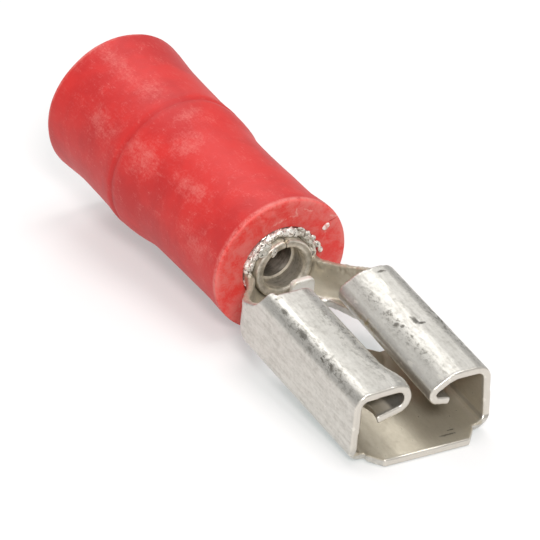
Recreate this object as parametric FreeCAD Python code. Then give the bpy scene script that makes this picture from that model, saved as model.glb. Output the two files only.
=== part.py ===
import FreeCAD, Part
import math
import os

from FreeCAD import Vector

os.makedirs("parts", exist_ok=True)

# A female spade terminal with a vinyl sleeve, for a 4.75 x 0.8 mm tab and 0.5 to 1.5 mm2 wire.
# While it is built, the mouth of the receptacle is at y = 0 and faces -Y, the sleeve lies
# towards +Y, and the underside of the receptacle floor is z = 0. At the end everything is
# turned nose down about the front lip, as it lies on a table, and the origin is put in the
# middle of the whole terminal's footprint, on the table.

# sheet metal
sheet = 0.32                    # thickness of the tinned brass sheet

# receptacle
box_width = 5.90                # over the walls, at the floor
box_height = 3.00               # underside of the floor to the top of the right roof
wall_lean = 2.5                 # degrees that each wall leans inward
floor_bend = 0.62               # outer radius between floor and wall
roof_bend = 0.60                # outer radius between wall and roof
box_length = 8.50               # mouth to where the walls begin to draw in
right_roof_end = 7.50           # mouth to the rear edge of the right roof
left_roof_end = 7.25
lip_reach = 0.60                # floor lip in front of the walls
lip_width = 3.56                # straight front edge of the lip
lip_root = 4.50                 # width of the lip where its slanted sides begin
relief_depth = 0.20             # small notches beside the lip, at the foot of the walls
relief_height = 0.75            # where a notch's slanted edge meets the wall's front edge

# left curl, a round roll
left_roof_rise = 3.0            # degrees that the left roof climbs inward
left_roof_run = 0.98            # straight part of the left roof, along most of its length
left_swell = 0.30               # how much wider the left roof is just behind the mouth
swell_place = 0.60              # distance from the mouth to the widest part of the swelling
swell_half = 1.30               # from there to the end of the swelling
left_roll = 0.63                # outer radius of the roll
left_roll_turn = 168.0          # degrees from the roof round to the foot
left_foot = 0.93                # straight foot after the roll

# right curl, a tight fold
right_roof_mouth = 0.68         # level part of the right roof, at the mouth
right_roof_run = 0.50           # the same at its rear edge
right_droop = 32.0              # degrees that the roof then falls
right_droop_bend = 1.34         # outer radius of that fall
right_slope_run = 0.48          # straight slope before the fold
right_fold = 0.43               # outer radius of the fold
right_fold_turn = 137.5         # degrees from the slope round to the foot
right_foot = 0.51               # straight foot after the fold

# floor window, pressed bump and wire stop
window_front = 5.85             # front edge of the window in the floor
window_waist = 8.10             # from here the window narrows with the neck
window_rear = 9.85              # rear edge of the window, in the neck
window_width = 4.10
window_rear_width = 2.80
window_corner = 0.45
window_rise = 0.85              # height to which the window is cut
bump_radius = 1.45              # of the bump's outline on the floor
bump_height = 0.46              # above the floor, so that a 0.8 mm tab is held
stop_width = 1.00
stop_height = 1.72              # top of the wire stop above the underside of the floor
stop_bend = 0.46                # outer radius where the stop turns up
stop_corner = 0.22

# barrel, liner and the bend of the neck
axis_height = 1.40              # barrel axis above the underside of the floor
barrel_radius = 1.58            # outside
barrel_front = 11.17
barrel_length = 6.10
barrel_seam = 0.06              # open butt seam on top
neck_bend = 3.0                 # degrees that the barrel swings to the left of the receptacle
neck_pivot = 10.64              # distance from the mouth to where the swing is centred
neck_edge_low = 1.42            # height of the neck's upper edges beside the barrel
neck_edge_high = 2.80           # height of the same edges where they meet the roofs
liner_gap = 0.01                # radial clearance of the liner in the barrel
liner_wall = 0.36
liner_front = 10.75
liner_length = 6.35
liner_seam = 0.05
liner_mouth = 0.10              # bevel inside the front end of the liner

# vinyl sleeve
sleeve_front = 11.12
sleeve_rear = 23.78
sleeve_gap = 0.01               # radial clearance on the barrel
sleeve_radius = 2.76            # outside, over the barrel
sleeve_lip_radius = 2.81        # outside, at the front rim
sleeve_lip_run = 1.10
grip_radius = 2.95              # outside, over the wire's insulation
bead_radius = 3.02              # top of the low bead behind the step
rim_radius = 3.12               # outside, at the flared rear rim
step_front = 17.05
step_rear = 18.25
bead_rear = 19.60
flare_start = 22.20
entry_radius = 2.12             # bore for the wire's insulation
entry_mouth_radius = 2.50       # the same bore at the rear rim
mouth_bevel = 0.12              # bevel inside the front end, where the neck comes out
edge_round = 0.14               # rounded outer edges of the sleeve's two ends
funnel_length = 0.70            # cone between the barrel's bore and the wire's bore

half = sheet / 2.0
up = Vector(0, 0, 1)
forward = Vector(0, 1, 0)


def walk(start, heading, steps):
    # Follows a middle line. Each step is ("line", length) or ("bend", radius, turn to the left).
    pieces = []
    u, v = start
    for step in steps:
        angle = math.radians(heading)
        if step[0] == "line":
            end = (u + step[1] * math.cos(angle), v + step[1] * math.sin(angle))
            pieces.append(("line", (u, v), end, heading))
            u, v = end
            continue
        radius, turn = step[1], step[2]
        centre = (u - radius * math.sin(angle), v + radius * math.cos(angle))
        heading += turn
        angle = math.radians(heading)
        u = centre[0] + radius * math.sin(angle)
        v = centre[1] - radius * math.cos(angle)
        pieces.append(("bend", centre, radius, heading - turn, heading))
    return pieces


def beside(pieces, offset, place):
    # Edges that run beside the middle line, at an offset to its left.
    edges = []
    for piece in pieces:
        if piece[0] == "line":
            angle = math.radians(piece[3])
            du = -offset * math.sin(angle)
            dv = offset * math.cos(angle)
            first = place(piece[1][0] + du, piece[1][1] + dv)
            last = place(piece[2][0] + du, piece[2][1] + dv)
            edges.append(Part.makeLine(first, last))
            continue
        centre, radius, begin, finish = piece[1:]
        reach = radius - offset
        spots = []
        for share in (0.0, 0.5, 1.0):
            angle = math.radians(begin + share * (finish - begin))
            spots.append(place(centre[0] + reach * math.sin(angle), centre[1] - reach * math.cos(angle)))
        edges.append(Part.Arc(*spots).toShape())
    return edges


def tip(edges):
    return edges[-1].Vertexes[-1].Point


def root(edges):
    return edges[0].Vertexes[0].Point


def strip_face(pieces, thickness, place):
    # The cross-section of a bent strip of sheet.
    inner = beside(pieces, thickness / 2.0, place)
    outer = beside(pieces, -thickness / 2.0, place)
    caps = [Part.makeLine(root(outer), root(inner)), Part.makeLine(tip(inner), tip(outer))]
    return Part.Face(Part.Wire(Part.__sortEdges__(inner + outer + caps)))


def mirrored(shape):
    return shape.mirror(Vector(0, 0, 0), Vector(1, 0, 0))


def block(x_min, x_max, y_min, y_max, z_min, z_max):
    return Part.makeBox(x_max - x_min, y_max - y_min, z_max - z_min, Vector(x_min, y_min, z_min))


def swung(shape):
    # The barrel and what it carries are built along +Y, then swung about the neck.
    turned = shape.copy()
    turned.rotate(Vector(0, neck_pivot, 0), up, neck_bend)
    return turned


def turned_about_axis(outline):
    # Revolves a closed outline of (distance along the barrel, radius) points and arcs.
    face = Part.Face(Part.Wire(Part.__sortEdges__(outline)))
    return face.revolve(Vector(0, 0, axis_height), forward, 360)


def spot(y, radius):
    return Vector(radius, y, axis_height)


def chain(points):
    return [Part.makeLine(spot(*a), spot(*b)) for a, b in zip(points, points[1:])]


# Receptacle. The floor's straight part ends where the bend to the wall begins, and the
# wall's length follows from the height that is left between the two bends.
floor_half = box_width / 2.0 - floor_bend


def wall_length():
    lean = math.radians(wall_lean)
    rise = (floor_bend - half) * (1.0 + math.sin(lean))
    fall = (roof_bend - half) * (1.0 - math.sin(lean))
    return (box_height - sheet - rise - fall) / math.cos(lean)


def side_of_box(roof_rise):
    # The right half of the floor with its wall, up to the end of the bend into the roof.
    steps = [
        ("line", floor_half),
        ("bend", floor_bend - half, 90.0 + wall_lean),
        ("line", wall_length()),
        ("bend", roof_bend - half, 90.0 - wall_lean - roof_rise),
    ]
    middle = walk((0.0, half), 0.0, steps)
    side = strip_face(middle, sheet, lambda u, v: Vector(u, 0, v)).extrude(forward * box_length)
    notch = [(-1, -1), (relief_depth, -1), (relief_depth, 0.15), (0, relief_height), (-1, relief_height)]
    notch = [Vector(lip_root / 2.0, y, z) for y, z in notch]
    relief = Part.Face(Part.makePolygon(notch + notch[:1])).extrude(Vector(2, 0, 0))
    return side.cut(relief), middle[-1]


def curl(bend, sections):
    # A roof with its roll and foot, lofted through sections from the mouth to its rear edge.
    centre, radius, begin, finish = bend[1:]
    angle = math.radians(finish)
    start = (centre[0] + radius * math.sin(angle), centre[1] - radius * math.cos(angle))
    wires = []
    for y, steps in sections:
        middle = walk(start, finish, steps)
        wires.append(strip_face(middle, sheet, lambda u, v: Vector(u, y, v)).OuterWire)
    return [Part.makeLoft(list(pair), True, True) for pair in zip(wires, wires[1:])]


def right_side():
    wall, bend = side_of_box(0.0)

    def steps(run):
        return [
            ("line", run),
            ("bend", right_droop_bend - half, right_droop),
            ("line", right_slope_run),
            ("bend", right_fold - half, right_fold_turn),
            ("line", right_foot),
        ]

    sections = [(0.0, steps(right_roof_mouth)), (right_roof_end, steps(right_roof_run))]
    return [wall] + curl(bend, sections)


def left_side():
    wall, bend = side_of_box(left_roof_rise)

    def section(y):
        away = min(1.0, abs(y - swell_place) / swell_half)
        run = left_roof_run + left_swell * (0.5 + 0.5 * math.cos(math.pi * away))
        return (y, [
            ("line", run),
            ("bend", left_roll - half, left_roll_turn),
            ("line", left_foot),
        ])

    swelling = [swell_half * share for share in (0.0, 0.25, 0.5, 0.75, 1.1, 1.46)]
    sections = [section(y) for y in swelling + [left_roof_end]]
    return [mirrored(part) for part in [wall] + curl(bend, sections)]


def floor_lip():
    corners = [
        Vector(-lip_root / 2.0, 0, 0),
        Vector(-lip_width / 2.0, -lip_reach, 0),
        Vector(lip_width / 2.0, -lip_reach, 0),
        Vector(lip_root / 2.0, 0, 0),
    ]
    return Part.Face(Part.makePolygon(corners + corners[:1])).extrude(up * sheet)


# Neck: a loft from the receptacle's floor and walls to the lower half of the barrel.
def neck_section(share):
    blend = share * share * (3.0 - 2.0 * share)

    def mix(first, last):
        return first + (last - first) * blend

    bend = mix(floor_bend, barrel_radius - 0.04)
    sink = mix(0.0, axis_height - barrel_radius)
    y = box_length + (barrel_front - box_length) * share
    middle = walk((0.0, half + sink), 0.0, [
        ("line", mix(floor_half, 0.04)),
        ("bend", bend - half, 90.0 + mix(wall_lean, 0.0)),
        ("line", mix(wall_length(), 0.35)),
    ])

    def on_right(u, v):
        return Vector(u, y, v)

    def on_left(u, v):
        return Vector(-u, y, v)

    outer_right = beside(middle, -half, on_right)
    inner_right = beside(middle, half, on_right)
    outer_left = beside(middle, -half, on_left)
    inner_left = beside(middle, half, on_left)
    edges = outer_left[::-1] + outer_right
    edges.append(Part.makeLine(tip(outer_right), tip(inner_right)))
    edges += inner_right[::-1] + inner_left
    edges.append(Part.makeLine(tip(inner_left), tip(outer_left)))
    outline = Part.Wire(edges)
    outline.rotate(Vector(0, neck_pivot, 0), up, neck_bend * blend)
    return outline


def above_neck():
    # Everything over the curved upper edges of the walls, from the roofs to the barrel.
    run = barrel_front - right_roof_end
    drop = neck_edge_high - neck_edge_low
    shares = [(0.0, 0.0), (0.14, 0.42), (0.33, 0.64), (0.66, 0.90), (1.0, 1.0)]
    edge = Part.BSplineCurve()
    edge.interpolate([Vector(-6, right_roof_end + a * run, neck_edge_high - b * drop) for a, b in shares])
    first = edge.StartPoint
    last = edge.EndPoint
    lid = Part.makePolygon([last, Vector(-6, last.y, 5), Vector(-6, first.y, 5), first])
    return Part.Face(Part.Wire([edge.toShape()] + lid.Edges)).extrude(Vector(12, 0, 0))


def neck():
    sections = [neck_section(step / 6.0) for step in range(7)]
    return Part.makeLoft(sections, True, False)


def floor_window():
    half_outline = [
        (window_width / 2.0, window_front),
        (window_width / 2.0, window_waist),
        (window_rear_width / 2.0, window_rear),
    ]
    corners = [Vector(x, y, -1) for x, y in half_outline]
    corners += [Vector(-x, y, -1) for x, y in reversed(half_outline)]
    hole = Part.Face(Part.makePolygon(corners + corners[:1])).extrude(up * (window_rise + 1))
    upright = [e for e in hole.Edges if abs(e.tangentAt(e.FirstParameter).z) > 0.99]
    return hole.makeFillet(window_corner, upright)


def floor_bump(shape):
    # A shallow pressed dome that ends at the window's front edge and lifts the tab.
    ball = (bump_radius ** 2 + bump_height ** 2) / (2.0 * bump_height)
    centre = Vector(0, window_front, sheet + bump_height - ball)
    front = block(-3, 3, 0, window_front, 0.0, 2.0)
    dome = Part.makeSphere(ball, centre).common(front)
    hollow = Part.makeSphere(ball - sheet, centre).common(front)
    return shape.fuse(dome).cut(hollow)


def wire_stop():
    # A tongue left standing at the rear of the window, square to the barrel, so that a wire
    # can't slide forward.
    thin = sheet - 0.02
    root_y = window_rear + 0.12
    share = (root_y - box_length) / (barrel_front - box_length)
    sink = (axis_height - barrel_radius) * share * share * (3.0 - 2.0 * share)
    bend = stop_bend - half
    middle = walk((-root_y, half + sink), 0.0, [
        ("line", 0.16),
        ("bend", bend, 90.0),
        ("line", stop_height - half - sink - bend),
    ])
    section = strip_face(middle, thin, lambda u, v: Vector(-stop_width / 2.0, -u, v))
    tongue = section.extrude(Vector(stop_width, 0, 0))
    top = tongue.BoundBox.ZMax
    corners = [
        e for e in tongue.Edges
        if e.CenterOfMass.z > top - 0.05 and abs(abs(e.CenterOfMass.x) - stop_width / 2.0) < 0.01
    ]
    return swung(tongue.makeFillet(stop_corner, corners))


def barrel():
    rings = [
        (barrel_front, barrel_radius - sheet),
        (barrel_front, barrel_radius),
        (barrel_front + barrel_length, barrel_radius),
        (barrel_front + barrel_length, barrel_radius - sheet),
    ]
    tube = turned_about_axis(chain(rings + rings[:1]))
    seam = block(-barrel_seam / 2.0, barrel_seam / 2.0, barrel_front - 1,
                 barrel_front + barrel_length + 1, axis_height, axis_height + 3)
    return swung(tube.cut(seam))


def terminal_body():
    sheet_parts = right_side() + left_side() + [floor_lip(), neck()]
    shape = sheet_parts[0].fuse(sheet_parts[1:]).removeSplitter().cut(above_neck())
    shape = floor_bump(shape.fuse(barrel()).cut(floor_window()))
    return shape.fuse(wire_stop()).removeSplitter()


def barrel_liner():
    outside = barrel_radius - sheet - liner_gap
    bore = outside - liner_wall
    rear = liner_front + liner_length
    line = [
        (liner_front, bore + liner_mouth),
        (liner_front, outside),
        (rear, outside),
        (rear, bore),
        (liner_front + liner_mouth, bore),
    ]
    tube = turned_about_axis(chain(line + line[:1]))
    seam = block(-liner_seam / 2.0, liner_seam / 2.0, liner_front - 1, rear + 1,
                 axis_height, axis_height + 3)
    return swung(tube.cut(seam))


def insulating_sleeve():
    bore = barrel_radius + sleeve_gap
    bore_end = barrel_front + barrel_length
    round_in = edge_round * (1.0 - math.sqrt(0.5))
    outline = chain([
        (sleeve_front, sleeve_lip_radius - edge_round),
        (sleeve_front, bore + mouth_bevel),
        (sleeve_front + mouth_bevel, bore),
        (bore_end, bore),
        (bore_end + funnel_length, entry_radius),
        (flare_start, entry_radius),
        (sleeve_rear, entry_mouth_radius),
        (sleeve_rear, rim_radius - edge_round),
    ])
    outline.append(Part.Arc(
        spot(sleeve_rear, rim_radius - edge_round),
        spot(sleeve_rear - round_in, rim_radius - round_in),
        spot(sleeve_rear - edge_round, rim_radius),
    ).toShape())
    outline += chain([
        (sleeve_rear - edge_round, rim_radius),
        (flare_start, grip_radius),
        (bead_rear, grip_radius),
        (step_rear, bead_radius),
        (step_front, sleeve_radius),
        (sleeve_front + sleeve_lip_run, sleeve_radius),
        (sleeve_front + edge_round, sleeve_lip_radius),
    ])
    outline.append(Part.Arc(
        spot(sleeve_front + edge_round, sleeve_lip_radius),
        spot(sleeve_front + round_in, sleeve_lip_radius - round_in),
        spot(sleeve_front, sleeve_lip_radius - edge_round),
    ).toShape())
    return swung(turned_about_axis(outline))


# At rest the nose is down: the lip and the sleeve's front rim touch the table.
rest_tilt = math.degrees(math.atan2(
    sleeve_lip_radius - axis_height,
    sleeve_front + edge_round + lip_reach,
))


def at_rest(shape):
    shape.translate(Vector(0, lip_reach, 0))
    shape.rotate(Vector(0, 0, 0), Vector(1, 0, 0), rest_tilt)
    return shape


pieces = {
    "terminal_body": at_rest(terminal_body()),
    "barrel_liner": at_rest(barrel_liner()),
    "insulating_sleeve": at_rest(insulating_sleeve()),
}
whole = Part.Compound(list(pieces.values())).optimalBoundingBox()
origin = Vector(whole.Center.x, whole.Center.y, whole.ZMin)
for name, piece in pieces.items():
    piece.translate(-origin)
    piece.exportStep("parts/" + name + ".step")
    size = piece.optimalBoundingBox()
    print(name, piece.isValid(), len(piece.Solids), round(piece.Volume, 3))
    print("  x", round(size.XMin, 3), round(size.XMax, 3), "y", round(size.YMin, 3),
          round(size.YMax, 3), "z", round(size.ZMin, 3), round(size.ZMax, 3))
    middle = piece.Solids[0].CenterOfMass
    print("  middle", round(middle.x, 3), round(middle.y, 3), round(middle.z, 3))
print("rest tilt", round(rest_tilt, 3))
print("origin", round(origin.x, 4), round(origin.y, 4), round(origin.z, 4))
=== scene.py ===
import math

import bmesh
import bpy
from mathutils import Matrix, Vector


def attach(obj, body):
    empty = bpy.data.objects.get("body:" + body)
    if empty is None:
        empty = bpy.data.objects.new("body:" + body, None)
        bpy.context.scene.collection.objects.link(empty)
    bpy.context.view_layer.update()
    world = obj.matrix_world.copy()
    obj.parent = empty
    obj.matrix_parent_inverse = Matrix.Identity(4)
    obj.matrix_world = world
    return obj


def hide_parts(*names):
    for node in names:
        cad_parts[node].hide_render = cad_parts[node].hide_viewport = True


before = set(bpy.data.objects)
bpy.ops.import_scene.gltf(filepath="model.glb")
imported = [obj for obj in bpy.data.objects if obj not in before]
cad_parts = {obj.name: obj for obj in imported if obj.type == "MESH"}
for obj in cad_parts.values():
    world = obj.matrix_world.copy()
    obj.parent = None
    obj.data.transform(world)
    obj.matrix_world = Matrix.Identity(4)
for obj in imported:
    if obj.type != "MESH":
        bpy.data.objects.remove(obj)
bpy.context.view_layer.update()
print("frame loaded:", sorted(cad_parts))

millimetre = 0.001

# The pieces are shaped level on the bench, in mm: the socket's mouth at y = 0, the underside
# of its floor at z = 0. Seating them turns them nose down and puts them where the CAD is.
bench = {
    "restTilt": 6.78,  # degrees, nose down
    "lipReach": 0.60,
    "shift": (0.4231, -12.1871, 0.0011),
    "neckBend": 3.0,  # degrees, to the left
    "neckPivot": 10.64,
    "axisHeight": 1.40,  # of the barrel and the sleeve
}


def seatMatrix(swung):
    seat = Matrix.Scale(millimetre, 4) @ Matrix.Translation(bench["shift"])
    seat = seat @ Matrix.Rotation(math.radians(bench["restTilt"]), 4, "X")
    seat = seat @ Matrix.Translation((0, bench["lipReach"], 0))
    if swung:  # what sits behind the neck turns with it
        pivot = Matrix.Translation((0, bench["neckPivot"], 0))
        turn = Matrix.Rotation(math.radians(bench["neckBend"]), 4, "Z")
        seat = seat @ pivot @ turn @ pivot.inverted()
    return seat


def pickPiece(piece):
    bpy.ops.object.select_all(action="DESELECT")
    piece.select_set(True)
    bpy.context.view_layer.objects.active = piece


def startFrom(addPrimitive, name, **settings):
    bpy.ops.object.select_all(action="DESELECT")
    addPrimitive(**settings)
    piece = bpy.context.object
    piece.name = name
    piece.data.name = name
    return piece


def settlePiece():
    bpy.ops.object.transform_apply(location=True, rotation=True, scale=True)


def selectWhere(piece, test):  # vertices by their place, in edit mode
    mesh = bmesh.from_edit_mesh(piece.data)
    for part in (mesh.verts, mesh.edges, mesh.faces):
        for element in part:
            element.select = False
    for vertex in mesh.verts:
        if test(vertex):
            vertex.select_set(True)
    mesh.select_flush_mode()
    bmesh.update_edit_mesh(piece.data)


def applyAll(piece):
    pickPiece(piece)
    for modifier in list(piece.modifiers):
        bpy.ops.object.modifier_apply(modifier=modifier.name)


def pull(piece, low, high, value, reach):  # proportional move of what lies between two corners
    def isBetween(vertex):
        return all(low[axis] < vertex.co[axis] < high[axis] for axis in range(3))

    pickPiece(piece)
    bpy.ops.object.mode_set(mode="EDIT")
    selectWhere(piece, isBetween)
    bpy.ops.transform.translate(value=value, use_proportional_edit=True,
                                proportional_edit_falloff="SMOOTH", proportional_size=reach)
    bpy.ops.object.mode_set(mode="OBJECT")


def roughen(piece, name, depth, grain, group=""):  # lumps pushed in and out along the normals
    texture = bpy.data.textures.new(name, "CLOUDS")
    texture.noise_scale = grain
    texture.noise_depth = 2
    lumps = piece.modifiers.new(name, "DISPLACE")
    lumps.texture = texture
    lumps.texture_coords = "LOCAL"
    lumps.strength = depth
    lumps.mid_level = 0.5
    lumps.vertex_group = group


def cutAway(piece, place, size, turn):  # a box cut out of the piece, turned in degrees
    tool = startFrom(bpy.ops.mesh.primitive_cube_add, "cutter", size=1.0, location=place,
                     rotation=[math.radians(angle) for angle in turn])
    tool.scale = size
    settlePiece()
    gap = piece.modifiers.new("cut", "BOOLEAN")
    gap.operation = "DIFFERENCE"
    gap.solver = "EXACT"
    gap.object = tool
    applyAll(piece)
    bpy.data.objects.remove(tool)


def drawTube(name, rings, sides):  # rings of (distance along the barrel, radius)
    centre = bench["axisHeight"]
    y, radius = rings[0]
    piece = startFrom(bpy.ops.mesh.primitive_circle_add, name, vertices=sides, radius=radius,
                      location=(0, y, centre), rotation=(math.pi / 2, 0, 0))
    settlePiece()
    bpy.ops.object.mode_set(mode="EDIT")
    bpy.ops.mesh.select_all(action="SELECT")
    for nextY, nextRadius in rings[1:]:
        bpy.ops.mesh.extrude_edges_move(TRANSFORM_OT_translate={"value": (0, nextY - y, 0)})
        if nextRadius != radius:
            size = nextRadius / radius
            bpy.ops.transform.resize(value=(size, 1, size), center_override=(0, nextY, centre))
        y, radius = nextY, nextRadius
    bpy.ops.mesh.select_all(action="SELECT")
    bpy.ops.mesh.remove_doubles(threshold=0.0004)  # the last ring meets the first
    bpy.ops.mesh.normals_make_consistent(inside=False)
    bpy.ops.object.mode_set(mode="OBJECT")
    return piece


def rounded(corner, before, after, size, steps=4):  # a profile's corner, as points on a curve
    corner, before, after = Vector(corner), Vector(before), Vector(after)
    start = corner + (before - corner).normalized() * size
    end = corner + (after - corner).normalized() * size
    points = []
    for step in range(steps + 1):
        share = step / steps
        points.append(tuple(start.lerp(corner, share).lerp(corner.lerp(end, share), share)))
    return points


def coatPiece(piece, material, smoothAngle, swung=True):  # finished, and put in its place
    piece.data.materials.clear()
    piece.data.materials.append(material)
    pickPiece(piece)
    piece.matrix_world = seatMatrix(swung) @ piece.matrix_world
    settlePiece()
    bpy.ops.object.shade_smooth_by_angle(angle=math.radians(smoothAngle))


class Wire:
    # A socket that adds its own Math nodes when it is used in a sum.
    def __init__(self, finish, socket):
        self.finish = finish
        self.socket = socket

    def math(self, operation, *values):
        node = self.finish.node("Math", {"operation": operation}, dict(enumerate(values)))
        return Wire(self.finish, node.outputs[0])

    def __add__(self, other):
        return self.math("ADD", self, other)

    def __radd__(self, other):
        return self.math("ADD", other, self)

    def __sub__(self, other):
        return self.math("SUBTRACT", self, other)

    def __rsub__(self, other):
        return self.math("SUBTRACT", other, self)

    def __mul__(self, other):
        return self.math("MULTIPLY", self, other)

    def __rmul__(self, other):
        return self.math("MULTIPLY", other, self)

    def atLeast(self, other):
        return self.math("MAXIMUM", self, other)

    def atMost(self, other):
        return self.math("MINIMUM", self, other)

    def size(self):
        return self.math("ABSOLUTE", self)

    def root(self):
        return self.math("SQRT", self)

    def fade(self, low, high):  # smooth from 0 at low to 1 at high, which may lie below low
        rising = low < high
        sockets = {"Value": self, "From Min": min(low, high), "From Max": max(low, high),
                   "To Min": 0.0 if rising else 1.0, "To Max": 1.0 if rising else 0.0}
        settings = {"interpolation_type": "SMOOTHSTEP", "clamp": True}
        return Wire(self.finish, self.finish.node("MapRange", settings, sockets).outputs["Result"])


class Finish:
    # A material and the few calls that its pattern is written with.
    def __init__(self, name):
        self.material = bpy.data.materials.new(name)
        self.material.use_nodes = True
        self.tree = self.material.node_tree
        self.shader = self.tree.nodes["Principled BSDF"]

    def plug(self, slot, value):
        if isinstance(value, Wire):
            value = value.socket
        if isinstance(value, bpy.types.NodeSocket):
            self.tree.links.new(value, slot)
        else:
            slot.default_value = value

    def node(self, kind, settings=None, sockets=None):
        node = self.tree.nodes.new("ShaderNode" + kind)
        for key, setting in (settings or {}).items():
            setattr(node, key, setting)
        for key, value in (sockets or {}).items():
            self.plug(node.inputs[key], value)
        return node

    def set(self, **values):  # the shader's own sockets
        for key, value in values.items():
            self.plug(self.shader.inputs[key.replace("_", " ")], value)

    def place(self, swung=False):  # bench coordinates in mm, from the piece's own
        seat = seatMatrix(swung)
        sockets = {"Vector": self.node("TexCoord").outputs["Object"],
                   "Location": seat.to_translation(), "Rotation": seat.to_euler(),
                   "Scale": seat.to_scale()}
        return self.node("Mapping", {"vector_type": "TEXTURE"}, sockets).outputs["Vector"]

    def axes(self, vector):
        parts = self.node("SeparateXYZ", sockets={"Vector": vector})
        return [Wire(self, parts.outputs[axis]) for axis in "XYZ"]

    def stretched(self, vector, scale):
        sockets = {"Vector": vector, "Scale": scale}
        return self.node("Mapping", {"vector_type": "POINT"}, sockets).outputs["Vector"]

    def noise(self, vector, scale, detail, rough, warp=0.0):
        sockets = {"Vector": vector, "Scale": scale, "Detail": detail, "Roughness": rough,
                   "Distortion": warp}
        return Wire(self, self.node("TexNoise", sockets=sockets).outputs["Fac"])

    def streaks(self, vector, scale, detail, rough, warp=0.0):  # noise with a scale per axis
        return self.noise(self.stretched(vector, scale), 1.0, detail, rough, warp)

    def blend(self, share, first, second):
        settings = {"data_type": "RGBA", "blend_type": "MIX", "clamp_factor": True}
        return self.node("Mix", settings, {0: share, 6: first, 7: second}).outputs[2]

    def distance(self, vector, centre, reach):  # from a place, in units of its reach per axis
        away = self.node("VectorMath", {"operation": "SUBTRACT"}, {0: vector, 1: centre})
        sized = self.node("VectorMath", {"operation": "DIVIDE"}, {0: away.outputs[0], 1: reach})
        length = self.node("VectorMath", {"operation": "LENGTH"}, {0: sized.outputs[0]})
        return Wire(self, length.outputs["Value"])

    def nearAny(self, vector, places, far, close, ragged=None):  # 1 at any of the places, 0 away
        mask = None
        for centre, reach in places:
            away = self.distance(vector, centre, reach)
            if ragged is not None:
                away = away + ragged
            spot = away.fade(far, close)
            mask = spot if mask is None else mask.atLeast(spot)
        return mask

    def nearLine(self, across, height, begin, end):  # mm to a line drawn on the front face
        run = Vector((end[0] - begin[0], end[1] - begin[1]))
        length = run.length
        run.normalize()
        along = (across - begin[0]) * run.x + (height - begin[1]) * run.y
        along = along.atLeast(0.0).atMost(length)
        sideX = across - (along * run.x + begin[0])
        sideZ = height - (along * run.y + begin[1])
        return (sideX * sideX + sideZ * sideZ).root()

    def bump(self, height, depth, before=None):  # depth in mm
        sockets = {"Height": height, "Strength": 1.0, "Distance": depth * millimetre}
        if before is not None:
            sockets["Normal"] = before
        return self.node("Bump", sockets=sockets).outputs["Normal"]


def tone(red, green, blue):  # 0 to 255 as seen on a screen, to a shader colour
    def linear(value):
        value /= 255.0
        return value / 12.92 if value <= 0.04045 else ((value + 0.055) / 1.055) ** 2.4
    return (linear(red), linear(green), linear(blue), 1.0)


tinLook = {
    "bright": tone(208, 205, 198),
    "dull": tone(168, 164, 155),
    # dark colour for real stains and for the painted shade in the folds' creases
    "stainAndFoldShade": tone(84, 80, 71),
    "brass": tone(176, 158, 96),
    "inside": tone(188, 177, 153),
    # colour of the sheared faces, also used as painted light inside the left curl
    "cutFaceAndCurlLight": tone(222, 213, 199),
    # colour of the painted highlight on the wire stop's top
    "wireStopHighlight": tone(240, 237, 229),
    # colour of the painted highlight on convex edges
    "paintedEdgeHighlight": tone(234, 230, 220),
    "roughness": 0.24,
    "metallic": 0.86,
    # noises: scale in 1/mm, detail, roughness, warp
    "clouds": (0.6, 2.0, 0.5),
    "patches": (3.4, 5.0, 0.66, 0.4),
    "grain": ((10.0, 4.5, 10.0), 3.0, 0.7),
    "drawn": ((7.0, 0.7, 7.0), 4.0, 0.6),
    "torn": ((4.6, 1.5, 4.6), 5.0, 0.78, 0.6),
    # places on the bench and how far each reaches, in mm
    "rubbedBends": [((-2.62, 3.6, 2.86), (0.30, 4.4, 0.26)), ((2.62, 3.6, 2.86), (0.30, 4.4, 0.26)),
                    ((-0.62, 3.4, 2.55), (0.30, 4.4, 0.26))],
    "greyed": [((1.02, 3.7, 2.8), (0.32, 4.4, 0.5)), ((2.52, 3.7, 2.9), (0.34, 4.4, 0.5)),
               ((-1.20, 3.7, 2.95), (0.5, 4.4, 0.5)), ((-2.62, 3.6, 2.86), (0.4, 4.6, 0.4))],
    "spots": [
        ((1.62, 3.72, 3.0), (0.10, 0.28, 0.3)), ((1.78, 3.46, 3.0), (0.16, 0.07, 0.3)),
        ((0.98, 3.95, 2.78), (0.10, 0.13, 0.2)), ((1.10, 3.70, 2.80), (0.07, 0.10, 0.2)),
        ((2.05, 7.12, 3.0), (0.17, 0.08, 0.3)), ((-2.38, 7.02, 2.98), (0.13, 0.10, 0.2)),
        ((-2.60, 4.62, 2.90), (0.10, 0.34, 0.2)), ((-2.55, 6.20, 2.90), (0.08, 0.24, 0.2)),
        ((1.15, -0.02, 0.32), (0.34, 0.05, 0.2)), ((1.42, 0.22, 0.32), (0.16, 0.04, 0.2)),
    ],
    "bareBrass": [((0.45, 5.1, 2.1), (0.25, 0.9, 0.5)), ((-0.5, 8.6, 1.7), (2.6, 1.3, 0.3))],
    "dent": [((1.82, 3.62, 3.0), (0.21, 0.27, 0.4))],
    # bump depths in mm
    "roofFall": 0.095,
    "floorDish": 0.28,
    "cloudDepth": 0.024,
    "dentDepth": 0.040,
    "patchDepth": 0.0032,
    "grainDepth": 0.0026,
}


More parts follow.
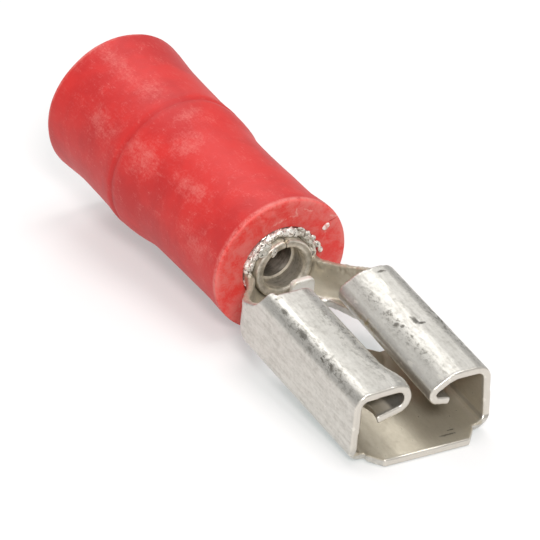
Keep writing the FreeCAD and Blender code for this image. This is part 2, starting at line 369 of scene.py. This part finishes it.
def tinnedSheet():
    finish = Finish("tinned_brass_sheet")
    place = finish.place()
    x, y, z = finish.axes(place)
    clouds = finish.noise(place, *tinLook["clouds"])
    patches = finish.noise(place, *tinLook["patches"])
    grain = finish.streaks(place, *tinLook["grain"])
    drawn = finish.streaks(place, *tinLook["drawn"])

    # Bright tin with duller streaks, and the sheared edge round the mouth.
    sheetEnds = y.fade(0.10, 0.03) * z.fade(0.34, 0.44)
    lipEnd = y.fade(-0.50, -0.56)
    mouth = sheetEnds + lipEnd
    dull = (patches * 0.34 + drawn * 0.46 + grain * 0.34 - 0.08).fade(0.36, 0.72)
    dull = dull * (1.0 - mouth * 0.8)
    colour = finish.blend(dull * 0.75, tinLook["bright"], tinLook["dull"])
    colour = finish.blend(mouth * 0.4, colour, tinLook["cutFaceAndCurlLight"])

    # Inside the receptacle it is warmer and duller, apart from the curls' sides along the gap.
    besideGap = x.size().fade(1.35, 1.15) * z.fade(0.9, 1.2)
    wireStopHighlight = x.size().fade(0.66, 0.58) * z.fade(0.8, 1.0) * y.fade(8.0, 8.3) * y.fade(10.2, 9.9)
    onLip = z.fade(0.5, 0.4) * y.fade(-0.60, -0.45)
    behindMouth = y.fade(0.0, 0.25).atLeast(onLip)
    underRoofs = z.fade(2.72, 2.62)
    aboveFloor = z.fade(0.24, 0.30)
    betweenWalls = x.size().fade(2.74, 2.66)
    within = underRoofs * aboveFloor * betweenWalls * behindMouth
    within = within * (1.0 - besideGap.atLeast(wireStopHighlight))
    # Painted light: inside the left curl the colour is lighter and less metallic, standing in for light
    # bounced round the curl.
    curlInsideLight = within * z.fade(1.90, 2.15) * x.fade(-0.2, -0.5)  # inside the left curl
    colour = finish.blend(within * 0.75, colour, tinLook["inside"])
    colour = finish.blend(curlInsideLight, colour, tinLook["cutFaceAndCurlLight"])
    # Painted highlight: the wire stop's top is near white and less metallic.
    colour = finish.blend(wireStopHighlight, colour, tinLook["wireStopHighlight"])

    # Rubbed bends: broken dark scuffs and pits that run along the folds.
    torn = finish.streaks(place, *tinLook["torn"]).fade(0.50, 0.60)
    bends = finish.nearAny(place, tinLook["rubbedBends"], 1.0, 0.25)
    greyed = finish.nearAny(place, tinLook["greyed"], 1.2, 0.2)
    pitted = (grain * 0.7 + patches * 0.5).fade(0.60, 0.72) * (greyed * 0.5 + 0.02)
    spotted = finish.nearAny(place, tinLook["spots"], 1.3, 0.55, grain * 2.2 - 1.1)
    stains = (bends * torn * 0.85).atLeast(spotted * 0.75).atLeast(pitted)
    colour = finish.blend(stains, colour, tinLook["stainAndFoldShade"])

    # Convex edges get a painted highlight, the folds' creases get painted shade, and brass shows at
    # some edges.
    corner = Wire(finish, finish.node("NewGeometry").outputs["Pointiness"])
    edgeHighlight = corner.fade(0.52, 0.60) * y.fade(8.2, 7.7)  # not on the ragged neck
    colour = finish.blend(edgeHighlight * 0.7, colour, tinLook["paintedEdgeHighlight"])
    foldShade = corner.fade(0.485, 0.43)
    colour = finish.blend(foldShade * 0.45, colour, tinLook["stainAndFoldShade"])
    bared = finish.nearAny(place, tinLook["bareBrass"], 1.0, 0.4) * patches.fade(0.45, 0.62)
    colour = finish.blend(bared * 0.55, colour, tinLook["brass"])

    finish.set(
        Base_Color=colour,
        Metallic=tinLook["metallic"] - within * 0.36 - curlInsideLight * 0.40 - wireStopHighlight * 0.56,
        Roughness=dull * 0.12 + grain * 0.10 + stains * 0.25 + tinLook["roughness"],
    )

    # The roofs fall a little to the gap, and the floor is dished, which places the light on them.
    fall = x.fade(-0.5, -2.5) + x.fade(0.0, 0.4) * 0.68 + x.fade(0.0, 3.4) * 0.32 - 1.0
    dish = x.fade(-1.3, 0.9) * z.fade(0.8, 0.5) * y.fade(4.5, 2.0)
    dent = finish.nearAny(place, tinLook["dent"], 1.1, 0.3, patches * 1.2 - 0.6)
    roofFall = fall * z.fade(0.8, 1.3) * y.fade(9.0, 7.6)
    shape = finish.bump(roofFall, tinLook["roofFall"])
    shape = finish.bump(dish, tinLook["floorDish"], shape)
    shape = finish.bump(clouds, tinLook["cloudDepth"], shape)
    shape = finish.bump(1.0 - dent, tinLook["dentDepth"], shape)
    shape = finish.bump(patches + drawn * 0.5, tinLook["patchDepth"], shape)
    finish.set(Normal=finish.bump(grain - stains * 1.2, tinLook["grainDepth"], shape))
    return finish.material


vinylLook = {
    "red": tone(212, 44, 40),
    "deep": tone(178, 30, 32),
    "pale": tone(228, 132, 124),
    # painted light on the front face
    "litFrontFace": tone(244, 66, 58),
    "score": tone(240, 168, 158),
    "roughness": 0.46,
    "specular": 0.42,
    "glowThrough": 0.06,  # share of light that spreads under the skin
    "glowReach": (0.0005, 0.0001, 0.0001),  # m
    # noises: scale in 1/mm, detail, roughness, warp
    "clouds": (0.40, 3.0, 0.6),
    "blotches": (1.5, 5.0, 0.65, 0.4),
    "fine": (12.0, 5.0, 0.78),
    "hairs": ((10.0, 2.4, 10.0), 5.0, 0.7),
    "blotchDepth": 0.020,  # mm
    "fineDepth": 0.0035,
    "scuffed": [  # pale powdery places: place on the barrel in mm, reach in mm
        ((-0.8, 22.3, 4.3), (0.5, 1.9, 0.8)), ((-0.6, 20.1, 4.3), (0.7, 0.9, 0.6)),
        ((-0.2, 17.9, 4.3), (0.9, 0.5, 0.6)), ((-2.4, 20.4, 3.0), (0.7, 1.5, 0.9)),
        ((-2.3, 17.9, 3.1), (0.9, 1.5, 1.1)), ((-0.9, 16.6, 3.9), (1.1, 0.9, 0.7)),
        ((-1.9, 14.6, 3.3), (0.5, 1.6, 0.6)), ((-2.7, 13.0, 1.9), (0.7, 1.4, 0.9)),
    ],
    "chafed": [((-0.62, 11.1, 3.84), (0.26, 0.2, 0.15)), ((-0.92, 11.1, 3.62), (0.12, 0.2, 0.07))],
    "scores": [  # from and to, as seen on the front face, in mm
        ((-0.38, 3.28), (0.28, 3.46)), ((0.28, 3.46), (0.62, 3.44)), ((0.60, 3.76), (0.66, 3.42)),
        ((0.98, 3.62), (1.30, 3.46)), ((2.02, 2.66), (1.86, 2.05)), ((2.18, 3.02), (2.52, 2.86)),
    ],
}


def redVinyl():
    finish = Finish("red_vinyl")
    place = finish.place(swung=True)
    x, y, z = finish.axes(place)
    clouds = finish.noise(place, *vinylLook["clouds"])
    blotches = finish.noise(place, *vinylLook["blotches"])
    fine = finish.noise(place, *vinylLook["fine"])
    hairs = finish.streaks(place, *vinylLook["hairs"])

    # Depth of colour wanders over the sleeve, and powdery scuffs lie on top.
    colour = finish.blend(clouds.fade(0.38, 0.66) * 0.55, vinylLook["red"], vinylLook["deep"])
    scuffed = finish.nearAny(place, vinylLook["scuffed"], 1.25, 0.1)
    powder = (blotches * 0.40 + fine * 0.42 + hairs * 0.28 + scuffed * 0.13).fade(0.54, 0.88)
    scratches = (hairs * 0.6 + fine * 0.5).fade(0.59, 0.70) * blotches.fade(0.42, 0.60)
    chafed = finish.nearAny(place, vinylLook["chafed"], 1.3, 0.6, fine * 2.0 - 1.0)
    pale = (powder * 0.66).atLeast(scratches * 0.5).atLeast(chafed * 0.8)
    colour = finish.blend(pale, colour, vinylLook["pale"])

    # The rims are lighter in broken patches, and the front face gets painted light: a lighter red with
    # pale mottling.
    # The distance is from the sleeve's axis: along it, a reach of 1 km makes it count for nothing.
    away = finish.distance(place, (0, 0, bench["axisHeight"]), (1, 1000000, 1))
    frontRim = away.fade(2.58, 2.74) * y.fade(11.42, 11.24)
    rearRim = away.fade(2.78, 3.02) * y.fade(23.52, 23.68)
    paleRims = frontRim.atLeast(rearRim) * (blotches + fine * 0.6).fade(0.60, 0.92)
    colour = finish.blend(paleRims * 0.75, colour, vinylLook["pale"])
    litFrontFace = y.fade(11.20, 11.14)
    colour = finish.blend(litFrontFace * 0.6, colour, vinylLook["litFrontFace"])
    litFrontMottle = litFrontFace * (blotches + fine * 0.5).fade(0.55, 0.95)
    colour = finish.blend(litFrontMottle * 0.6, colour, vinylLook["pale"])
    # Painted shade: a darker band in the crease behind the step.
    stepCreaseShade = y.fade(18.55, 18.78) * y.fade(18.98, 18.80)  # behind the step
    colour = finish.blend(stepCreaseShade * 0.35, colour, vinylLook["deep"])

    # Pale scores scratched into the front face, with a wavering line.
    marks = None
    across, height = x + (blotches - 0.5) * 0.5, z + (hairs - 0.5) * 0.3
    for begin, end in vinylLook["scores"]:
        line = finish.nearLine(across, height, begin, end).fade(0.05, 0.008)
        line = line * y.fade(11.30, 11.22)
        marks = line if marks is None else marks.atLeast(line)
    marks = marks * (fine + blotches).fade(0.80, 1.10)
    colour = finish.blend(marks * 0.6, colour, vinylLook["score"])

    finish.set(
        Base_Color=colour,
        Roughness=pale * 0.2 + fine * 0.08 + vinylLook["roughness"],
        Specular_IOR_Level=vinylLook["specular"],
        Subsurface_Weight=vinylLook["glowThrough"],
        Subsurface_Radius=vinylLook["glowReach"],
        Subsurface_Scale=1.0,
    )
    shape = finish.bump(blotches, vinylLook["blotchDepth"])
    finish.set(Normal=finish.bump(fine - marks, vinylLook["fineDepth"], shape))
    return finish.material


linerLook = {
    "bright": tone(236, 228, 214),
    "dull": tone(186, 178, 162),
    # painted shade inside the bore: its colour, and from and to where it darkens along the barrel
    "boreShade": tone(84, 72, 62),
    "boreShadeFrom": 11.4,  # mm along the barrel
    "boreShadeTo": 14.2,
    "metallic": 0.8,
    "roughness": 0.30,
    "patches": (2.6, 4.0, 0.6, 0.4),
    "grain": (11.0, 3.0, 0.7),
    "rolled": ((1.0, 9.0, 1.0), 3.0, 0.6),
    "rolledDepth": 0.008,  # mm
    "grainDepth": 0.0016,
}


def linerTin():
    finish = Finish("liner_tin")
    place = finish.place(swung=True)
    along = finish.axes(place)[1]
    patches = finish.noise(place, *linerLook["patches"])
    grain = finish.noise(place, *linerLook["grain"])
    rolled = finish.streaks(place, *linerLook["rolled"])
    dull = (patches * 0.6 + rolled * 0.4).fade(0.40, 0.62)
    colour = finish.blend(dull, linerLook["bright"], linerLook["dull"])
    # Painted shade: the liner darkens deeper into the bore.
    boreShade = along.fade(linerLook["boreShadeFrom"], linerLook["boreShadeTo"])
    colour = finish.blend(boreShade * 0.7, colour, linerLook["boreShade"])
    finish.set(Base_Color=colour, Metallic=linerLook["metallic"],
               Roughness=dull * 0.14 + grain * 0.1 + linerLook["roughness"])
    shape = finish.bump(rolled, linerLook["rolledDepth"])
    finish.set(Normal=finish.bump(grain, linerLook["grainDepth"], shape))
    return finish.material


tornLook = {
    "bright": tone(244, 240, 231),
    "dull": tone(160, 150, 132),
    "pit": tone(66, 58, 50),
    "copper": tone(196, 150, 118),
    "metallic": 0.6,
    "roughness": 0.16,
    "patches": (5.0, 4.0, 0.7, 0.5),
    "pits": (9.0, 3.0, 0.7),
    "depth": 0.03,  # mm
}


def tornTin():
    finish = Finish("torn_tin")
    place = finish.place(swung=True)
    patches = finish.noise(place, *tornLook["patches"])
    pits = finish.noise(place, *tornLook["pits"])
    colour = finish.blend(patches.fade(0.52, 0.64), tornLook["bright"], tornLook["dull"])
    colour = finish.blend(pits.fade(0.44, 0.37) * 0.85, colour, tornLook["pit"])
    colour = finish.blend(patches.fade(0.40, 0.33) * 0.5, colour, tornLook["copper"])
    finish.set(Base_Color=colour, Metallic=tornLook["metallic"],
               Roughness=patches * 0.3 + tornLook["roughness"])
    finish.set(Normal=finish.bump(patches + pits, tornLook["depth"]))
    return finish.material


crumbLook = {
    "white": tone(252, 244, 238),
    "pink": tone(226, 160, 148),
    "roughness": 0.35,
    "fine": (8.0, 4.0, 0.7),
    "depth": 0.03,  # mm
}


def vinylCrumb():
    finish = Finish("vinyl_crumb")
    place = finish.place(swung=True)
    fine = finish.noise(place, *crumbLook["fine"])
    colour = finish.blend(fine.fade(0.42, 0.62), crumbLook["white"], crumbLook["pink"])
    finish.set(Base_Color=colour, Roughness=fine * 0.3 + crumbLook["roughness"])
    finish.set(Normal=finish.bump(fine, crumbLook["depth"]))
    return finish.material


tinMaterial = tinnedSheet()
vinylMaterial = redVinyl()
linerMaterial = linerTin()
tornMaterial = tornTin()
crumbMaterial = vinylCrumb()
print("materials written")

sleeve = {
    "front": 11.12,
    "rear": 23.78,
    "sides": 160,
    "frontRadius": 2.84,
    "rimRadius": 3.09,
    "barrelBore": 1.60,
    "outside": [  # distance along the barrel and radius, front to rear: waist, step, bead, flare
        (11.52, 2.825), (11.92, 2.80), (12.42, 2.765), (13.0, 2.76), (13.8, 2.76), (14.6, 2.755),
        (15.4, 2.76), (16.1, 2.765), (16.6, 2.775), (17.0, 2.805), (17.35, 2.86), (17.7, 2.925),
        (18.05, 2.97), (18.4, 3.0), (18.62, 3.01), (18.72, 2.965), (18.80, 2.965), (18.90, 3.02),
        (19.05, 3.03), (19.3, 3.01), (19.7, 2.97), (20.2, 2.955), (20.8, 2.95), (21.4, 2.95),
        (22.0, 2.96), (22.5, 2.985), (22.9, 3.02), (23.2, 3.05),
    ],
    "wireEntry": [  # rear to front: wide bore, cone
        (23.0, 2.31), (22.2, 2.13), (20.0, 2.12), (18.2, 2.12), (17.9, 2.09), (17.35, 1.68),
    ],
    "rounds": (0.13, 0.14, 0.10, 0.08),  # front edge, rear rim, wire's mouth, bore's edge
    # what lies between two corners, how it moves, and how far around it the move reaches
    "lipBulge": ((2.2, 11.0, 0.9), (3.5, 11.4, 3.4), (0.07, 0.0, 0.02), 1.5),
    "rimShift": ((-3.5, 23.5, -2.0), (3.5, 24.0, 5.0), (0.085, -0.03, 0.055), 4.5),
    "stepPull": ((2.25, 18.3, 2.0), (3.5, 18.95, 5.0), (-0.05, -0.45, -0.03), 1.7),
    "wander": (0.05, 2.4),  # depth and grain
    "nick": ((2.46, 11.10, 2.87), (0.75, 0.34, 0.045), (0, -17, 0)),  # place, size, turn
    "smoothAngle": 50,
}


def sleeveRings():
    front, rear, bore = sleeve["front"], sleeve["rear"], sleeve["barrelBore"]
    frontRound, rimRound, mouthRound, boreRound = sleeve["rounds"]
    rings = rounded((front, sleeve["frontRadius"]), (front, 2.3), (front + 1.0, 2.80), frontRound)
    rings += sleeve["outside"]
    rings += rounded((rear, sleeve["rimRadius"]), (22.9, 3.02), (rear, 2.6), rimRound)
    rings += [(rear - 0.02, 2.62)]
    rings += rounded((rear - 0.05, 2.50), (rear, 2.8), (23.2, 2.38), mouthRound, 2)
    rings += sleeve["wireEntry"]
    rings += [(17.1, bore), (14.0, bore), (front + 0.3, bore)]
    rings += rounded((front, bore + 0.02), (front + 0.3, bore), (front, 1.9), boreRound, 2)
    rings += [(front - 0.005, 2.0), (front - 0.005, 2.4), rings[0]]
    return rings


def vinylSleeve():
    piece = drawTube("vinyl_sleeve", sleeveRings(), sleeve["sides"])
    for move in ("lipBulge", "rimShift", "stepPull"):
        pull(piece, *sleeve[move])
    roughen(piece, "wander", *sleeve["wander"])
    applyAll(piece)
    cutAway(piece, *sleeve["nick"])
    coatPiece(piece, vinylMaterial, sleeve["smoothAngle"])
    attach(piece, "root")
    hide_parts("insulating_sleeve")


vinylSleeve()
print("sleeve done")

liner = {
    "front": 10.75,
    "rear": 17.10,
    "outside": 1.25,
    "bore": 0.89,
    "sides": 128,
    "edgeRound": 0.09,
    "ridges": (13.70, 12.70, 11.70),  # rear to front
    "ridgeShape": [(0.16, 0.0), (0.07, -0.07), (-0.05, -0.08), (-0.10, 0.0)],
    "mouthShape": [(0.16, 0.0), (0.07, 0.03), (0.01, 0.11)],
    "seam": (0.05, 6.8, 0.7),  # its width, length and depth
    "seamPlace": (13.9, 1.07),  # along the barrel, above its axis
    # notches where the seam opens: above the axis, size, turn in degrees
    "notches": [(1.24, (0.20, 0.30, 0.20), (20, 45, 0)), (0.86, (0.15, 0.34, 0.15), (-20, 45, 0))],
    "smoothAngle": 40,
}


def barrelLiner():
    front, rear, outside, bore = (liner[key] for key in ("front", "rear", "outside", "bore"))
    rings = rounded((front, outside), (front, 1.0), (front + 0.5, outside), liner["edgeRound"])
    rings += [(front + 0.5, outside), (rear - 0.05, outside), (rear, outside - 0.05)]
    rings += [(rear, bore + 0.03)]
    for ridge in liner["ridges"]:
        rings += [(ridge + along, bore + rise) for along, rise in liner["ridgeShape"]]
    rings += [(front + along, bore + rise) for along, rise in liner["mouthShape"]]
    rings += [rings[0]]
    piece = drawTube("crimp_liner", rings, liner["sides"])
    middle = bench["axisHeight"]
    along, above = liner["seamPlace"]
    cutAway(piece, (0, along, middle + above), liner["seam"], (0, 0, 0))
    for above, size, turn in liner["notches"]:
        cutAway(piece, (0, front, middle + above), size, turn)
    coatPiece(piece, linerMaterial, liner["smoothAngle"])
    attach(piece, "root")
    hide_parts("barrel_liner")


barrelLiner()
print("liner done")

# What the shears left at the barrel's front end: a lumpy burr and bright torn chips, in mm.
burr = {
    "radius": 1.45,
    "thickness": 0.15,
    "front": 11.14,
    "opening": 0.95,  # height at which the burr ends on either side
    "sidesRound": 200,
    "sidesAcross": 16,
    "chipFaces": 2,  # divisions of a chip's ball, and those added once it is torn
    "chipFiner": 3,
    "lumps": (0.30, 0.36),  # depth and grain
    "crumbs": (0.09, 0.11),
    "torn": (0.12, 0.34),
    "bitten": (0.03, 0.07),
    "smoothAngle": 32,
    "chips": [  # place, half sizes, turn in the plane of the barrel's end
        ((-1.02, 10.66, 2.60), (0.37, 0.06, 0.25), -40), ((-0.62, 10.62, 2.42), (0.14, 0.05, 0.25), 14),
        ((-1.24, 10.90, 2.24), (0.19, 0.07, 0.11), -60), ((-1.42, 10.90, 1.86), (0.11, 0.07, 0.17), 10),
        ((-1.48, 10.88, 1.50), (0.10, 0.06, 0.13), -10), ((0.76, 10.95, 2.88), (0.20, 0.06, 0.09), 38),
        ((1.02, 10.93, 2.66), (0.13, 0.06, 0.08), 50), ((1.28, 10.92, 2.38), (0.14, 0.07, 0.10), 48),
        ((1.50, 10.91, 2.06), (0.19, 0.07, 0.11), 60), ((1.64, 10.93, 1.72), (0.10, 0.06, 0.15), -12),
    ],
    "crumb": ((1.93, 11.09, 2.60), (0.17, 0.05, 0.12), -28),  # on the sleeve's front face
}


def finishTorn(piece, material):
    coatPiece(piece, material, burr["smoothAngle"])
    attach(piece, "root")


def barrelBurr():
    piece = startFrom(bpy.ops.mesh.primitive_torus_add, "barrel_burr",
                      major_segments=burr["sidesRound"], minor_segments=burr["sidesAcross"],
                      major_radius=burr["radius"], minor_radius=burr["thickness"],
                      location=(0, burr["front"], bench["axisHeight"]),
                      rotation=(math.pi / 2, 0, 0))
    settlePiece()
    bpy.ops.object.mode_set(mode="EDIT")
    bpy.ops.mesh.select_all(action="SELECT")
    bpy.ops.mesh.bisect(plane_co=(0, 0, burr["opening"]), plane_no=(0, 0, -1),
                        use_fill=True, clear_outer=True)
    bpy.ops.object.mode_set(mode="OBJECT")
    roughen(piece, "lumps", *burr["lumps"])
    roughen(piece, "crumbs", *burr["crumbs"])
    applyAll(piece)
    finishTorn(piece, tornMaterial)


def tornChip(name, place, reach, turn, material):
    piece = startFrom(bpy.ops.mesh.primitive_ico_sphere_add, name,
                      subdivisions=burr["chipFaces"], radius=1.0)
    bpy.ops.transform.resize(value=reach)
    settlePiece()
    piece.location = place
    piece.rotation_euler = (0, math.radians(turn), 0)
    settlePiece()
    roughen(piece, "torn", *burr["torn"])
    finer = piece.modifiers.new("finer", "SUBSURF")
    finer.subdivision_type = "SIMPLE"
    finer.levels = finer.render_levels = burr["chipFiner"]
    roughen(piece, "bitten", *burr["bitten"])
    applyAll(piece)
    finishTorn(piece, material)


barrelBurr()
for number, chip in enumerate(burr["chips"], 1):
    tornChip("torn_chip_%02d" % number, *chip, tornMaterial)
tornChip("vinyl_crumb", *burr["crumb"], crumbMaterial)
print("torn ends done")

sheet = {
    "mergeWithin": 0.002,
    "grid": 0.05,  # of the even skin
    "softening": 0.5,
    "softenings": 6,  # rounds of it, which round the edges
    "keep": 0.36,  # share of the skin's faces
    "ragged": (0.10, 0.16),  # depth and grain
    "raggedBarrel": (11.0, 11.45, 1.2),  # from and to along the bench, and from which radius out
    "raggedNeck": (8.0, 11.2, 1.25),  # from and to, and from how far to either side
    "neckEdge": (1.2, 9.6, 0.45),  # its least height, where it starts to rise forwards, its slope
    "smoothAngle": 80,
}


def benchCopy(node, name):  # a merged copy of a CAD node, laid level on the bench
    piece = bpy.data.objects.new(name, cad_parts[node].data.copy())
    bpy.context.scene.collection.objects.link(piece)
    pickPiece(piece)
    piece.matrix_world = seatMatrix(False).inverted()
    settlePiece()
    bpy.ops.object.mode_set(mode="EDIT")
    bpy.ops.mesh.select_all(action="SELECT")
    bpy.ops.mesh.remove_doubles(threshold=sheet["mergeWithin"])
    bpy.ops.object.mode_set(mode="OBJECT")
    return piece


def isSheared(vertex):  # the barrel's front end and the neck's upper edges
    x, y, z = vertex.co
    start, end, radius = sheet["raggedBarrel"]
    atBarrel = start < y < end and math.hypot(x, z - bench["axisHeight"]) > radius
    start, end, side = sheet["raggedNeck"]
    height, bend, slope = sheet["neckEdge"]
    atNeck = start < y < end and abs(x) > side and z > height + slope * max(0.0, bend - y)
    return atBarrel or atNeck


def foldedSheet():
    piece = benchCopy("terminal_body", "folded_sheet")
    skin = piece.modifiers.new("even_skin", "REMESH")
    skin.mode = "VOXEL"
    skin.voxel_size = sheet["grid"]
    applyAll(piece)

    bpy.ops.object.mode_set(mode="EDIT")
    selectWhere(piece, isSheared)
    piece.vertex_groups.new(name="sheared")
    bpy.ops.object.vertex_group_assign()
    bpy.ops.object.mode_set(mode="OBJECT")
    roughen(piece, "ragged", *sheet["ragged"], "sheared")
    soften = piece.modifiers.new("worn_edges", "SMOOTH")
    soften.factor = sheet["softening"]
    soften.iterations = sheet["softenings"]
    thin = piece.modifiers.new("fewer_faces", "DECIMATE")
    thin.ratio = sheet["keep"]
    applyAll(piece)
    print("sheet faces:", len(piece.data.polygons))
    coatPiece(piece, tinMaterial, sheet["smoothAngle"], swung=False)
    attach(piece, "root")
    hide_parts("terminal_body")


foldedSheet()
print("folded sheet done")

studio = {
    "tableSize": 2.0,
    "tableColour": (0.635, 0.585, 0.58, 1.0),
    "tableGlow": (0.31, 0.355, 0.355, 1.0),  # seen by the camera and in the tin
    "tableRoughness": 0.9,
    "worldLevel": 0.53,
    "boxes": {  # place in m, width, height, power in W; all aim at the origin
        "front_key": ((-0.090, -0.225, 0.180), 0.06, 0.06, 0.46),
        "rear_card": ((0.030, 0.196, 0.198), 0.18, 0.10, 0.135),
        "top_card": ((0.045, -0.010, 0.31), 0.15, 0.15, 0.31),
    },
    "cameraPlace": (-0.126657, -0.238157, 0.141661),
    "cameraAzimuth": -28.07,
    "cameraElevation": 27.32,
    "lens": 533.333,
}


def studioTable():
    table = startFrom(bpy.ops.mesh.primitive_plane_add, "table", size=studio["tableSize"],
                      location=(0, 0, 0))
    finish = Finish("white_table")
    finish.set(Base_Color=studio["tableColour"], Roughness=studio["tableRoughness"],
               Specular_IOR_Level=0.0)
    rays = finish.node("LightPath").outputs
    seen = Wire(finish, rays["Is Camera Ray"]).atLeast(rays["Is Glossy Ray"])
    seen = seen.atLeast(rays["Is Transmission Ray"])
    glow = finish.node("Emission", sockets={"Color": studio["tableGlow"], "Strength": 1.0})
    plain = finish.shader.outputs[0]
    lit = finish.node("AddShader", sockets={0: plain, 1: glow.outputs[0]})
    both = finish.node("MixShader", sockets={0: seen, 1: plain, 2: lit.outputs[0]})
    finish.plug(finish.tree.nodes["Material Output"].inputs["Surface"], both.outputs[0])
    table.data.materials.append(finish.material)


def studioWorld():
    world = bpy.data.worlds.new("studio")
    bpy.context.scene.world = world
    world.use_nodes = True
    back = world.node_tree.nodes["Background"]
    back.inputs["Color"].default_value = (1.0, 1.0, 1.0, 1.0)
    back.inputs["Strength"].default_value = studio["worldLevel"]


def softbox(name, place, width, height, power):
    lamp = bpy.data.lights.new(name, "AREA")
    lamp.shape = "RECTANGLE"
    lamp.size = width
    lamp.size_y = height
    lamp.energy = power
    box = bpy.data.objects.new(name, lamp)
    bpy.context.scene.collection.objects.link(box)
    box.location = place
    box.rotation_euler = (-Vector(place)).to_track_quat("-Z", "Y").to_euler()


def photoCamera():
    data = bpy.data.cameras.new("camera")
    data.lens = studio["lens"]
    data.sensor_width = 36.0
    data.clip_start = 0.01
    data.clip_end = 10.0
    camera = bpy.data.objects.new("camera", data)
    bpy.context.scene.collection.objects.link(camera)
    camera.location = studio["cameraPlace"]
    camera.rotation_euler = (math.radians(90 - studio["cameraElevation"]), 0,
                             math.radians(studio["cameraAzimuth"]))
    bpy.context.scene.camera = camera


studioTable()
studioWorld()
for name, (place, width, height, power) in studio["boxes"].items():
    softbox(name, place, width, height, power)
photoCamera()
bpy.context.scene.view_settings.view_transform = "Standard"
print("studio done")
